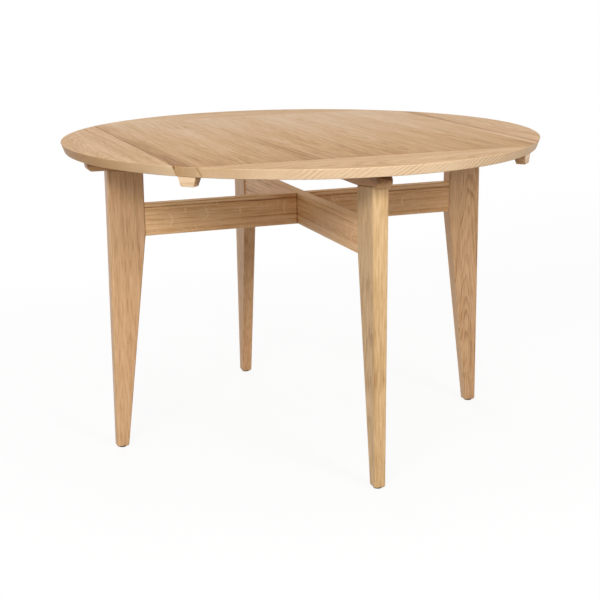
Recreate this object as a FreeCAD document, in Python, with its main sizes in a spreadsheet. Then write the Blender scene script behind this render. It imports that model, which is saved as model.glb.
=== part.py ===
"""Extending dining table: a square top whose four hinged leaves make it round.

The top stands on a swivel in the middle of a crossed frame of legs, rails and bearers. As
photographed the bearers' ends hold the leaves level. Lifted off its locating pins the top lets
the leaves swing down, and turned by 45 degrees its square corners come over the bearers.

Units are millimetres. The origin is on the floor under the swivel, +Z is up, +X runs along the
left-right rail and -Y points at the front leg.
"""
import FreeCAD, Part
import os
import re
import Sketcher

# Driving sizes
SIZES = {
    # Top
    "table_height": 750.0,
    "top_diameter": 1168.0,
    "top_thickness": 23.0,
    "panel_width": 864.0,
    "edge_undercut": 8.5,
    "joint_undercut": 9.0,
    "leaf_gap": 1.0,
    "edge_ease": 1.5,
    # Corner blocks
    "block_width": 43.0,
    "block_depth": 29.0,
    "block_height": 21.5,
    "block_foot_width": 31.5,
    "block_foot_depth": 22.0,
    "block_inset": 1.0,
    "block_lean": 1.5,
    "dowel_diameter": 8.0,
    "dowel_bite": 12.0,
    "dowel_spacing": 20.0,
    # Legs
    "leg_setback": 93.5,
    "leg_width": 86.5,
    "leg_thickness": 39.0,
    "foot_splay": 5.0,
    "foot_width": 30.0,
    "foot_thickness": 27.0,
    "leg_ease": 3.0,
    "foot_ease": 3.5,
    # Rails
    "rail_drop": 121.5,
    "rail_height": 77.0,
    "rail_thickness": 30.0,
    "rail_ease": 1.5,
    "tenon_thickness": 12.0,
    "tenon_shoulder": 12.0,
    "rail_tenon": 34.0,
    "leg_tenon_width": 44.0,
    "leg_tenon_cover": 8.0,
    # Bearers
    "bearer_thickness": 36.0,
    "bearer_depth": 35.0,
    "arm_depth": 26.5,
    "long_arm_setback": 38.5,
    "short_arm_setback": 62.5,
    "arm_nose": 13.0,
    "arm_crown": 10.0,
    "bearer_ease": 1.5,
    "slip_pad_diameter": 28.0,
    "slip_pad_setback": 25.0,
    # Swivel
    "plate_thickness": 2.8,
    "plate_diameter": 150.0,
    "swivel_diameter": 140.0,
    "base_screw_edge": 13.0,
    "socket_screw_edge": 8.0,
    "pivot_diameter": 16.0,
    "bush_wall": 3.0,
    "pivot_engagement": 30.0,
    "stop_land": 5.4,
    "stop_diameter": 6.0,
    "stop_allowance": 5.0,
    "turn_angle": 45.0,
    "locating_spacing": 80.0,
    "locating_diameter": 10.0,
    "locating_reach": 12.0,
    "locating_spare": 2.0,
    # Hinges
    "hinge_length": 50.0,
    "hinge_offset": 140.0,
    "hinge_drop": 4.0,
    "flap_width": 30.0,
    "flap_thickness": 2.0,
    "knuckle_diameter": 7.0,
    "knuckle_length": 20.0,
    "tongue_thickness": 2.0,
    "hinge_pin_diameter": 3.5,
    # Screws
    "screw_head_diameter": 7.2,
    "screw_diameter": 3.5,
    "screw_length": 16.0,
    "screw_point": 4.0,
    "screw_margin": 7.0,
    # Feet
    "glide_diameter": 20.0,
    "glide_height": 2.5,
    "glide_stem": 6.0,
    "glide_bite": 12.0,
    # Clearances
    "slip_clearance": 0.3,
    "fit_clearance": 0.05,
    "peg_clearance": 0.15,
    "joint_clearance": 0.1,
    "cut_margin": 10.0,
}

# Places and sizes that follow from the driving sizes
PLACES = {
    "underside": "table_height - top_thickness",
    "top_radius": "top_diameter / 2",
    "rim_low": "top_radius - edge_undercut",
    "rim_slope": "edge_undercut / top_thickness",
    "joint_slope": "joint_undercut / top_thickness",
    "chord": "panel_width / 2",
    "leaf_chord": "chord + leaf_gap",
    "slip_gap": "3 * plate_thickness + 2 * slip_clearance",
    "bearer_top": "underside - slip_gap",
    "bearer_low": "bearer_top - bearer_depth",
    "arm_low": "bearer_top - arm_depth",
    "long_reach": "rim_low - long_arm_setback",
    "short_reach": "rim_low - short_arm_setback",
    "nose_radius": "min(arm_nose; arm_depth / 2 - joint_clearance)",
    "crown_radius": "min(arm_crown; arm_depth / 2 - joint_clearance)",
    "leg_outer": "top_radius - leg_setback",
    "leg_inner": "leg_outer - leg_width",
    "leg_middle": "leg_outer - leg_width / 2",
    "leg_slope": "(arm_low - bearer_low) / leg_width",
    "foot_outer": "leg_outer + foot_splay",
    "foot_inner": "foot_outer - foot_width",
    "foot_middle": "foot_outer - foot_width / 2",
    "rail_top": "underside - rail_drop",
    "rail_low": "rail_top - rail_height",
    "rail_middle": "rail_top - rail_height / 2",
    "knee_share": "(rail_low - glide_height) / (arm_low - glide_height)",
    "knee_outer": "foot_outer - foot_splay * knee_share",
    "knee_thickness": "foot_thickness + (leg_thickness - foot_thickness) * knee_share",
    "leg_tenon_top": "bearer_top - leg_tenon_cover",
    "swivel_low": "bearer_top + plate_thickness + slip_clearance",
    "swivel_top": "swivel_low + plate_thickness",
    "socket_low": "underside - plate_thickness",
    "bush_radius": "pivot_diameter / 2 + fit_clearance + bush_wall",
    "corner_low": "(chord - joint_undercut) * sqrt(2)",
    "block_outer": "min(rim_low - block_inset; corner_low - block_width / 2)",
    "block_middle": "block_outer - block_depth / 2",
    "hinge_axis": "chord - joint_undercut + leaf_gap / 2",
    "hinge_height": "underside - hinge_drop",
    "flap_start": "knuckle_diameter / 2 + slip_clearance",
    "tongue_top": "hinge_height + knuckle_diameter / 2",
    "screw_cone": "(screw_head_diameter - screw_diameter) / 2",
    "screw_bore": "screw_diameter / 2 + fit_clearance",
    "flap_screw_bite": "screw_length - flap_thickness + fit_clearance",
    "plate_screw_bite": "screw_length - plate_thickness + fit_clearance",
    "base_screw_radius": "plate_diameter / 2 - base_screw_edge",
    "diagonal_screw": "(swivel_diameter / 2 - socket_screw_edge) / sqrt(2)",
    "stop_radius": "base_screw_radius - screw_head_diameter / 2 - stop_diameter / 2 - stop_land",
}

SIDES = ("right", "rear", "left", "front")
CORNERS = ("rear_right", "rear_left", "front_left", "front_right")
QUARTER_ANGLE = 90.0
CORNER_ANGLE = 45.0
COUNTERSINK_ANGLE = 45.0
UPRIGHT = FreeCAD.Vector(0, 0, 1)

doc = FreeCAD.newDocument("extending_dining_table")
sheet = doc.addObject("Spreadsheet::Sheet", "Sizes")
for row, (alias, size) in enumerate(SIZES.items(), start=1):
    sheet.set(f"A{row}", alias)
    sheet.set(f"B{row}", str(size))
    sheet.setAlias(f"B{row}", alias)
doc.recompute()

nodes = []


def formula(text):
    """Return an expression in which each named size or place refers to the sheet."""

    def cell(match):
        word = match.group()
        if word in SIZES:
            return f"Sizes.{word}"
        if word in PLACES:
            return f"({formula(PLACES[word])})"
        return word

    return re.sub(r"[a-z_]+", cell, text)


def number(text):
    """Return the value of an expression in named sizes."""
    return float(sheet.evalExpression(formula(text)))


def new_body(label):
    """Return an empty body."""
    body = doc.addObject("PartDesign::Body", label)
    body.Label = label
    return body


def keep(body):
    """List a body as a sub-part of the table."""
    nodes.append(body)
    return body


def new_sketch(body, role, offset="0"):
    """Return a sketch on one of the body's own planes, moved along its normal."""
    plane = next(item for item in body.Origin.OriginFeatures if item.Role == role)
    sketch = body.newObject("Sketcher::SketchObject", "Sketch")
    sketch.AttachmentSupport = [(plane, "")]
    sketch.MapMode = "FlatFace"
    sketch.setExpression("AttachmentOffset.Base.z", formula(offset))
    return sketch


def fix_point(sketch, geometry, point, x, y):
    """Tie a point of the sketch to two expressions."""
    for kind, axis, text in (("DistanceX", -2, x), ("DistanceY", -1, y)):
        if text == "0":
            sketch.addConstraint(Sketcher.Constraint("PointOnObject", geometry, point, axis))
        else:
            rule = Sketcher.Constraint(kind, -1, 1, geometry, point, number(text))
            sketch.setExpression(f"Constraints[{sketch.addConstraint(rule)}]", formula(text))


def outline(sketch, corners):
    """Draw a closed outline of straight lines through corners given as expressions."""
    points = [FreeCAD.Vector(number(x), number(y), 0) for x, y in corners]
    following = points[1:] + points[:1]
    lines = [sketch.addGeometry(Part.LineSegment(*ends), False) for ends in zip(points, following)]
    for line, after in zip(lines, lines[1:] + lines[:1]):
        sketch.addConstraint(Sketcher.Constraint("Coincident", line, 2, after, 1))
    for line, (x, y) in zip(lines, corners):
        fix_point(sketch, line, 1, x, y)
    return sketch


def rectangle(sketch, left, right, low, high):
    """Draw a rectangle."""
    return outline(sketch, [(left, low), (right, low), (right, high), (left, high)])


def eased_rectangle(sketch, left, right, low, high, ease):
    """Draw a rectangle whose corners are taken off at 45 degrees."""
    return outline(sketch, [
        (f"{left} + {ease}", low),
        (f"{right} - {ease}", low),
        (right, f"{low} + {ease}"),
        (right, f"{high} - {ease}"),
        (f"{right} - {ease}", high),
        (f"{left} + {ease}", high),
        (left, f"{high} - {ease}"),
        (left, f"{low} + {ease}"),
    ])


def circles(sketch, centres, radius):
    """Draw equal circles."""
    for x, y in centres:
        middle = FreeCAD.Vector(number(x), number(y), 0)
        ring = sketch.addGeometry(Part.Circle(middle, UPRIGHT, number(radius)), False)
        fix_point(sketch, ring, 3, x, y)
        rule = sketch.addConstraint(Sketcher.Constraint("Radius", ring, number(radius)))
        sketch.setExpression(f"Constraints[{rule}]", formula(radius))
    return sketch


def pad(body, sketch, length, both_ways=False, backwards=False):
    """Extrude a sketch, along its normal unless told otherwise."""
    feature = body.newObject("PartDesign::Pad", "Pad")
    feature.Profile = sketch
    feature.setExpression("Length", formula(length))
    feature.SideType = "Symmetric" if both_ways else "One side"
    feature.Reversed = backwards
    body.Tip = feature
    return feature


def revolve(body, sketch):
    """Turn a sketch once round its upright axis."""
    feature = body.newObject("PartDesign::Revolution", "Revolution")
    feature.Profile = sketch
    feature.ReferenceAxis = (sketch, ["V_Axis"])
    body.Tip = feature
    return feature


def loft(body, first, *others):
    """Join sections by ruled faces."""
    feature = body.newObject("PartDesign::AdditiveLoft", "Loft")
    feature.Profile = first
    feature.Sections = list(others)
    feature.Ruled = True
    body.Tip = feature
    return feature


def cut(body, sketch, length=None, forwards=False, taper=0.0):
    """Cut a sketch into the body, right through both ways when no length is given."""
    doc.recompute()
    before = body.Shape.Volume
    feature = body.newObject("PartDesign::Pocket", "Pocket")
    feature.Profile = sketch
    if length is None:
        feature.Type = "ThroughAll"
        feature.SideType = "Symmetric"
    else:
        feature.setExpression("Length", formula(length))
        feature.SideType = "One side"
    feature.Reversed = forwards
    feature.TaperAngle = taper
    body.Tip = feature
    doc.recompute()
    if body.Shape.Volume >= before:
        raise RuntimeError(f"a cut in {body.Label} removes nothing")
    return feature


def four_times(body, feature):
    """Repeat a feature in the four quarters round the upright axis."""
    pattern = body.newObject("PartDesign::PolarPattern", "PolarPattern")
    pattern.Originals = [feature]
    axis = next(item for item in body.Origin.OriginFeatures if item.Role == "Z_Axis")
    pattern.Axis = (axis, [""])
    pattern.Angle = len(SIDES) * QUARTER_ANGLE
    pattern.Occurrences = len(SIDES)
    body.Tip = pattern
    return pattern


def turned(quarter, start=0.0, along="0"):
    """Return the place of a copy moved along Y and then turned about the upright axis."""
    turn = FreeCAD.Rotation(UPRIGHT, start + QUARTER_ANGLE * quarter)
    return FreeCAD.Placement(turn.multVec(FreeCAD.Vector(0, number(along), 0)), turn)


def moved(x, y, z, flipped=False):
    """Return the place of a copy at a point, upside down if flipped."""
    turn = FreeCAD.Rotation(FreeCAD.Vector(1, 0, 0), 2 * QUARTER_ANGLE if flipped else 0.0)
    return FreeCAD.Placement(FreeCAD.Vector(number(x), number(y), number(z)), turn)


def copies(label, source, places):
    """Make a sub-part from copies of a body, one solid at each place."""
    doc.recompute()
    shapes = []
    for place in places:
        shape = source.Shape.copy()
        shape.Placement = place.multiply(shape.Placement)
        shapes.append(shape)
    node = doc.addObject("Part::Feature", label)
    node.Label = label
    node.Shape = shapes[0] if len(shapes) == 1 else Part.makeCompound(shapes)
    nodes.append(node)
    return node


def mirrored_pairs(x, y):
    """Return a point and its mirror image across the X axis."""
    return [(x, y), (x, f"-({y})")]


# Screw places, seen from below on the right-hand side of the top
FLAP_SCREW_OUT = "flap_width - screw_margin"
FLAP_SCREW_IN = "flap_start + screw_margin"
FLAP_SCREW_ALONG = "hinge_length / 2 - screw_margin"


def flap_screws(sign, along="0"):
    """Return the screw places of one hinge flap, on the panel (-) or on the leaf (+)."""
    outer = f"hinge_axis {sign} ({FLAP_SCREW_OUT})"
    inner = f"hinge_axis {sign} ({FLAP_SCREW_IN})"
    return [
        (outer, f"{along} - ({FLAP_SCREW_ALONG})"),
        (outer, f"{along} + ({FLAP_SCREW_ALONG})"),
        (inner, along),
    ]


def side_screws(sign):
    """Return the flap screw places along one whole side."""
    return flap_screws(sign, "hinge_offset") + flap_screws(sign, "0 - hinge_offset")


def cross_places(radius):
    """Return four places on the X and Y axes."""
    return [(radius, "0"), (f"0 - {radius}", "0"), ("0", radius), ("0", f"0 - {radius}")]


def diagonal_places(reach):
    """Return four places on the diagonals."""
    back = f"0 - {reach}"
    return [(reach, reach), (reach, back), (back, reach), (back, back)]


LOCATING_PLACES = [("0", "locating_spacing / 2"), ("0", "0 - locating_spacing / 2")]


# Top panel and leaves
def round_top(body):
    """Turn the whole round top, undercut at its rim."""
    profile = new_sketch(body, "XZ_Plane")
    outline(profile, [
        ("0", "underside"),
        ("rim_low - edge_ease", "underside"),
        ("rim_low + rim_slope * edge_ease", "underside + edge_ease"),
        ("top_radius - rim_slope * edge_ease", "table_height - edge_ease"),
        ("top_radius - edge_ease", "table_height"),
        ("0", "table_height"),
    ])
    return revolve(body, profile)


def joint_face(edge):
    """Return the lower and upper ends of the sloping joint face, past both faces of the top."""
    low = (f"{edge} - joint_slope * (top_thickness + cut_margin)", "underside - cut_margin")
    high = (f"{edge} + joint_slope * cut_margin", "table_height + cut_margin")
    return low, high


def make_panel():
    """Make the square centre of the top with its holes."""
    body = keep(new_body("top_panel"))
    round_top(body)
    low, high = joint_face("chord")
    beyond = "top_radius + cut_margin"
    side = new_sketch(body, "XZ_Plane")
    outline(side, [low, (beyond, low[1]), (beyond, high[1]), high])
    four_times(body, cut(body, side))
    screws = circles(new_sketch(body, "XY_Plane", "underside"), side_screws("-"), "screw_bore")
    four_times(body, cut(body, screws, "flap_screw_bite", forwards=True))
    dowels = [
        (f"(block_middle {a} dowel_spacing / 2) / sqrt(2)",
         f"(block_middle {b} dowel_spacing / 2) / sqrt(2)")
        for a, b in (("+", "-"), ("-", "+"))
    ]
    holes = circles(new_sketch(body, "XY_Plane", "underside"), dowels,
                    "dowel_diameter / 2 + fit_clearance")
    four_times(body, cut(body, holes, "dowel_bite + fit_clearance", forwards=True))
    sockets = circles(new_sketch(body, "XY_Plane", "underside"), LOCATING_PLACES,
                      "locating_diameter / 2 + peg_clearance")
    cut(body, sockets, "locating_reach + locating_spare", forwards=True)
    plate = circles(new_sketch(body, "XY_Plane", "underside"), diagonal_places("diagonal_screw"),
                    "screw_bore")
    cut(body, plate, "plate_screw_bite", forwards=True)


def make_leaves():
    """Make the four leaves from one."""
    leaf = new_body("leaf")
    round_top(leaf)
    low, high = joint_face("leaf_chord")
    beyond = "0 - top_radius - cut_margin"
    inside = new_sketch(leaf, "XZ_Plane")
    outline(inside, [(beyond, low[1]), low, high, (beyond, high[1])])
    cut(leaf, inside)
    screws = circles(new_sketch(leaf, "XY_Plane", "underside"), side_screws("+"), "screw_bore")
    cut(leaf, screws, "flap_screw_bite", forwards=True)
    for quarter, side in enumerate(SIDES):
        copies(f"{side}_leaf", leaf, [turned(quarter)])


def make_corner_blocks():
    """Make the tapered blocks under the cut corners, and their dowels."""
    block = new_body("corner_block")
    top = rectangle(new_sketch(block, "XY_Plane", "underside"), "block_outer - block_depth",
                    "block_outer", "0 - block_width / 2", "block_width / 2")
    foot = rectangle(new_sketch(block, "XY_Plane", "underside - block_height"),
                     "block_outer - block_lean - block_foot_depth", "block_outer - block_lean",
                     "0 - block_foot_width / 2", "block_foot_width / 2")
    loft(block, top, foot)
    pair = mirrored_pairs("block_middle", "dowel_spacing / 2")
    holes = circles(new_sketch(block, "XY_Plane", "underside"), pair,
                    "dowel_diameter / 2 + fit_clearance")
    cut(block, holes, "dowel_bite + fit_clearance")
    dowels = new_body("dowel_pair")
    ends = circles(new_sketch(dowels, "XY_Plane", "underside - dowel_bite"), pair,
                   "dowel_diameter / 2")
    pad(dowels, ends, "2 * dowel_bite")
    for quarter, corner in enumerate(CORNERS):
        copies(f"{corner}_block", block, [turned(quarter, CORNER_ANGLE)])
    copies("block_dowels", dowels, [turned(q, CORNER_ANGLE) for q in range(len(CORNERS))])


# Frame
def make_legs():
    """Make the four tapered legs from one, with its tenon, its mortise and its glide hole."""
    leg = new_body("leg")
    sections = [
        ("glide_height", "foot_inner + foot_ease", "foot_outer - foot_ease",
         "(foot_thickness / 2 - foot_ease)"),
        ("glide_height + foot_ease", "foot_inner", "foot_outer", "foot_thickness / 2"),
        ("rail_low", "leg_inner", "knee_outer", "knee_thickness / 2"),
        ("arm_low", "leg_inner", "leg_outer", "leg_thickness / 2"),
    ]
    loft(leg, *[
        eased_rectangle(new_sketch(leg, "XY_Plane", level), inner, outer, f"0 - {half}", half,
                        "leg_ease")
        for level, inner, outer, half in sections
    ])
    slope = new_sketch(leg, "XZ_Plane")
    outline(slope, [
        ("leg_inner - cut_margin", "bearer_low - leg_slope * cut_margin"),
        ("leg_outer + cut_margin", "arm_low + leg_slope * cut_margin"),
        ("leg_outer + cut_margin", "bearer_top"),
        ("leg_inner - cut_margin", "bearer_top"),
    ])
    cut(leg, slope)
    tenon = rectangle(new_sketch(leg, "XY_Plane", "rail_top"), "leg_middle - leg_tenon_width / 2",
                      "leg_middle + leg_tenon_width / 2", "0 - tenon_thickness / 2",
                      "tenon_thickness / 2")
    pad(leg, tenon, "leg_tenon_top - rail_top")
    room = "tenon_thickness / 2 + joint_clearance"
    mortise = rectangle(new_sketch(leg, "YZ_Plane", "leg_inner"), f"0 - ({room})", room,
                        "rail_low + tenon_shoulder - joint_clearance",
                        "rail_top - tenon_shoulder + joint_clearance")
    cut(leg, mortise, "rail_tenon + joint_clearance", forwards=True)
    stem = circles(new_sketch(leg, "XY_Plane", "glide_height"), [("foot_middle", "0")],
                   "glide_stem / 2 + fit_clearance")
    cut(leg, stem, "glide_bite + fit_clearance", forwards=True)
    for quarter, side in enumerate(SIDES):
        copies(f"{side}_leg", leg, [turned(quarter)])


def make_rail(label, quarter, from_above):
    """Make a rail with tenons at its ends, halved at the centre from above or from below."""
    rail = new_body(f"{label}_blank")
    half = "rail_thickness / 2"
    section = eased_rectangle(new_sketch(rail, "YZ_Plane"), f"0 - {half}", half, "rail_low",
                              "rail_top", "rail_ease")
    pad(rail, section, "2 * leg_inner", both_ways=True)
    tenon = rectangle(new_sketch(rail, "YZ_Plane"), "0 - tenon_thickness / 2",
                      "tenon_thickness / 2", "rail_low + tenon_shoulder",
                      "rail_top - tenon_shoulder")
    pad(rail, tenon, "2 * (leg_inner + rail_tenon)", both_ways=True)
    room = "rail_thickness / 2 + joint_clearance"
    end = "rail_top + cut_margin" if from_above else "rail_low - cut_margin"
    lap = rectangle(new_sketch(rail, "XZ_Plane"), f"0 - ({room})", room, "rail_middle", end)
    cut(rail, lap)
    copies(label, rail, [turned(quarter)])


def end_edges(body, reach, level):
    """Return the names of the edges across both ends of a bearer at a level."""
    names = []
    for index, edge in enumerate(body.Shape.Edges, start=1):
        middle = edge.CenterOfMass
        at_end = abs(abs(middle.x) - number(reach)) < number("fit_clearance")
        if at_end and abs(middle.z - number(level)) < number("fit_clearance"):
            names.append(f"Edge{index}")
    return names


def side_faces(body):
    """Return the names of the two broad sides of a bearer."""
    half = number("bearer_thickness / 2")
    return [
        f"Face{index}"
        for index, face in enumerate(body.Shape.Faces, start=1)
        if abs(abs(face.CenterOfMass.y) - half) < number("fit_clearance")
    ]


def dress(body, kind, names, setting, size):
    """Round or ease named edges, or the edges of named faces, of a body's last feature."""
    base = body.Tip
    feature = body.newObject(f"PartDesign::{kind}", kind)
    feature.Base = (base, names)
    feature.setExpression(setting, formula(size))
    body.Tip = feature
    doc.recompute()


def make_bearer(label, quarter, reach, from_above):
    """Make an upper bearer: deep between the legs, thinner arms with rounded noses outside."""
    bearer = new_body(f"{label}_blank")
    half_side = [
        ("leg_inner", "bearer_low"),
        ("leg_outer", "arm_low"),
        (reach, "arm_low"),
        (reach, "bearer_top"),
    ]
    other_side = [(f"0 - {x}", y) for x, y in reversed(half_side)]
    side = outline(new_sketch(bearer, "XZ_Plane"), half_side + other_side)
    pad(bearer, side, "bearer_thickness", both_ways=True)
    doc.recompute()
    dress(bearer, "Fillet", end_edges(bearer, reach, "arm_low"), "Radius", "nose_radius")
    dress(bearer, "Fillet", end_edges(bearer, reach, "bearer_top"), "Radius", "crown_radius")
    dress(bearer, "Chamfer", side_faces(bearer), "Size", "bearer_ease")
    middle = "(bearer_top + bearer_low) / 2"
    end = "bearer_top + cut_margin" if from_above else "bearer_low - cut_margin"
    room = "bearer_thickness / 2 + joint_clearance"
    lap = rectangle(new_sketch(bearer, "XZ_Plane"), f"0 - ({room})", room, middle, end)
    cut(bearer, lap)
    wide = "leg_tenon_width / 2 + joint_clearance"
    deep = "tenon_thickness / 2 + joint_clearance"
    for side_of in ("", "0 - "):
        mortise = rectangle(new_sketch(bearer, "XY_Plane", "bearer_low - cut_margin"),
                            f"{side_of}leg_middle - ({wide})", f"{side_of}leg_middle + {wide}",
                            f"0 - ({deep})", deep)
        height = "leg_tenon_top + joint_clearance - bearer_low + cut_margin"
        cut(bearer, mortise, height, forwards=True)
    pivot = circles(new_sketch(bearer, "XY_Plane"), [("0", "0")], "bush_radius + fit_clearance")
    cut(bearer, pivot)
    screws = circles(new_sketch(bearer, "XY_Plane", "bearer_top"),
                     cross_places("base_screw_radius")[:2], "screw_bore")
    cut(bearer, screws, "plate_screw_bite")
    copies(label, bearer, [turned(quarter)])


def make_slip_pads():
    """Make the pads on the arms, on which the leaves rest and slide."""
    for first, reach in enumerate(("long_reach", "short_reach")):
        slip = new_body("slip_pad")
        face = circles(new_sketch(slip, "XY_Plane", "bearer_top"),
                       [(f"{reach} - slip_pad_setback", "0")], "slip_pad_diameter / 2")
        pad(slip, face, "slip_gap - slip_clearance")
        for quarter in (first, first + 2):
            copies(f"{SIDES[quarter]}_slip_pad", slip, [turned(quarter)])


def make_glides():
    """Make the glides under the feet."""
    glide = new_body("foot_glide")
    disc = circles(new_sketch(glide, "XY_Plane"), [("foot_middle", "0")], "glide_diameter / 2")
    pad(glide, disc, "glide_height")
    stem = circles(new_sketch(glide, "XY_Plane"), [("foot_middle", "0")], "glide_stem / 2")
    pad(glide, stem, "glide_height + glide_bite")
    for quarter, side in enumerate(SIDES):
        copies(f"{side}_foot_glide", glide, [turned(quarter)])


# Fasteners and countersinks
def make_screw():
    """Make one countersunk screw that points up from the origin."""
    screw = new_body("wood_screw")
    profile = outline(new_sketch(screw, "XZ_Plane"), [
        ("0", "0"),
        ("screw_head_diameter / 2", "0"),
        ("screw_diameter / 2", "screw_cone"),
        ("screw_diameter / 2", "screw_length - screw_point"),
        ("0", "screw_length"),
    ])
    revolve(screw, profile)
    return screw


def countersunk(body, places, level, thickness, from_above=False):
    """Cut screw holes with countersinks into a plate, from its lower or its upper face."""
    through = circles(new_sketch(body, "XY_Plane", level), places, "screw_bore")
    cut(body, through, thickness, forwards=not from_above)
    sinks = circles(new_sketch(body, "XY_Plane", level), places,
                    "screw_head_diameter / 2 + fit_clearance")
    cut(body, sinks, "screw_cone", forwards=not from_above, taper=-COUNTERSINK_ANGLE)


# Swivel
def make_plate(label, diameter, level, holes):
    """Make a round plate, with holes given as places and radius."""
    body = keep(new_body(label))
    face = circles(new_sketch(body, "XY_Plane", level), [("0", "0")], f"{diameter} / 2")
    pad(body, face, "plate_thickness")
    for places, radius in holes:
        cut(body, circles(new_sketch(body, "XY_Plane", level), places, radius), "plate_thickness",
            forwards=True)
    return body


def make_swivel(screw):
    """Make the plates, pins, bush and screws on which the top turns and from which it lifts."""
    pivot_hole = ([("0", "0")], "pivot_diameter / 2 + fit_clearance")
    base = make_plate("swivel_base_plate", "plate_diameter", "bearer_top", [pivot_hole])
    countersunk(base, cross_places("base_screw_radius"), "bearer_top + plate_thickness",
                "plate_thickness", from_above=True)
    half_slot = "(stop_diameter / 2 + slip_clearance)"
    slot = rectangle(new_sketch(base, "XZ_Plane"), f"stop_radius - {half_slot}",
                     f"stop_radius + {half_slot}", "bearer_top - cut_margin",
                     "bearer_top + cut_margin")
    groove = base.newObject("PartDesign::Groove", "Groove")
    groove.Profile = slot
    groove.ReferenceAxis = (slot, ["V_Axis"])
    groove.setExpression("Angle", formula("turn_angle + 2 * stop_allowance"))
    base.Tip = groove

    stop_place = [("stop_radius * cos(stop_allowance)", "stop_radius * sin(stop_allowance)")]
    make_plate("swivel_plate", "swivel_diameter", "swivel_low", [
        pivot_hole,
        (stop_place, "stop_diameter / 2 + fit_clearance"),
        (LOCATING_PLACES, "locating_diameter / 2 + fit_clearance"),
    ])
    pivot = keep(new_body("pivot_pin"))
    end = circles(new_sketch(pivot, "XY_Plane", "swivel_top"), [("0", "0")], "pivot_diameter / 2")
    pad(pivot, end, "swivel_top - bearer_top + pivot_engagement", backwards=True)
    stop = keep(new_body("stop_pin"))
    end = circles(new_sketch(stop, "XY_Plane", "swivel_top"), stop_place, "stop_diameter / 2")
    pad(stop, end, "swivel_top - bearer_top - slip_clearance", backwards=True)
    pins = new_body("locating_pin")
    end = circles(new_sketch(pins, "XY_Plane", "swivel_low"), LOCATING_PLACES[:1],
                  "locating_diameter / 2")
    pad(pins, end, "underside + locating_reach - swivel_low")
    copies("locating_pins", pins, [turned(0), turned(2)])

    bush = keep(new_body("pivot_bush"))
    ring = new_sketch(bush, "XY_Plane", "bearer_low")
    circles(ring, [("0", "0")], "bush_radius")
    circles(ring, [("0", "0")], "pivot_diameter / 2 + fit_clearance")
    pad(bush, ring, "bearer_depth")

    socket = make_plate("top_socket_plate", "swivel_diameter", "socket_low", [
        (LOCATING_PLACES, "locating_diameter / 2 + peg_clearance"),
    ])
    countersunk(socket, diagonal_places("diagonal_screw"), "socket_low", "plate_thickness")
    copies("top_socket_screws", screw, [
        moved(x, y, "socket_low") for x, y in diagonal_places("diagonal_screw")
    ])
    copies("swivel_base_screws", screw, [
        moved(x, y, "bearer_top + plate_thickness", flipped=True)
        for x, y in cross_places("base_screw_radius")
    ])


# Hinges
def make_flap(label, sign, barrel_length):
    """Make a hinge flap: a plate, a tongue and a barrel round the pin, on the panel or the leaf."""
    flap = new_body(label)
    near = f"hinge_axis {sign} flap_start"
    far = f"hinge_axis {sign} flap_width"
    half = "hinge_length / 2"
    low = "underside - flap_thickness"
    plate = rectangle(new_sketch(flap, "XY_Plane", low), near, far, f"0 - {half}", half)
    pad(flap, plate, "flap_thickness")
    overlap = f"hinge_axis {sign} (flap_start + flap_thickness)"
    tongue = rectangle(new_sketch(flap, "XZ_Plane"), "hinge_axis", overlap,
                       "tongue_top - tongue_thickness", "tongue_top")
    pad(flap, tongue, barrel_length, both_ways=True)
    barrel = circles(new_sketch(flap, "XZ_Plane"), [("hinge_axis", "hinge_height")],
                     "knuckle_diameter / 2")
    pad(flap, barrel, barrel_length, both_ways=True)
    bore = circles(new_sketch(flap, "XZ_Plane"), [("hinge_axis", "hinge_height")],
                   "hinge_pin_diameter / 2 + fit_clearance")
    cut(flap, bore)
    countersunk(flap, flap_screws(sign), low, "flap_thickness")
    return flap


def make_hinges(screw):
    """Make two hinges for each leaf, with their pins and screws."""
    panel_flap = make_flap("panel_flap", "-", "hinge_length")
    room = "knuckle_length / 2 + slip_clearance"
    gap = rectangle(new_sketch(panel_flap, "XY_Plane"), "hinge_axis - flap_start",
                    "hinge_axis + flap_start", f"0 - ({room})", room)
    cut(panel_flap, gap)
    leaf_flap = make_flap("leaf_flap", "+", "knuckle_length")
    pin = new_body("hinge_pin")
    end = circles(new_sketch(pin, "XZ_Plane"), [("hinge_axis", "hinge_height")],
                  "hinge_pin_diameter / 2")
    pad(pin, end, "hinge_length", both_ways=True)
    seat = "underside - flap_thickness"
    ends = ("hinge_offset", "0 - hinge_offset")
    for quarter, side in enumerate(SIDES):
        pair = [turned(quarter, along=along) for along in ends]
        copies(f"{side}_hinge_panel_flaps", panel_flap, pair)
        copies(f"{side}_hinge_leaf_flaps", leaf_flap, pair)
        copies(f"{side}_hinge_pins", pin, pair)
        turn = turned(quarter)
        for part, sign in (("panel", "-"), ("leaf", "+")):
            copies(f"{side}_{part}_screws", screw, [
                turn.multiply(moved(x, y, seat)) for x, y in side_screws(sign)
            ])


def check_document():
    """Stop if any object of the document failed or any sub-part has no sound solid."""
    failed = [item.Label for item in doc.Objects if {"Invalid", "Error"} & set(item.State)]
    if failed:
        raise RuntimeError(f"failed objects: {failed}")
    for node in nodes:
        if node.Shape.isNull() or not node.Shape.isValid() or not node.Shape.Solids:
            raise RuntimeError(f"{node.Label} has no sound solid")


def write_parts():
    """Write each sub-part to a file named after it."""
    os.makedirs("parts", exist_ok=True)
    for node in nodes:
        node.Shape.exportStep(f"parts/{node.Label}.step")


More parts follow.
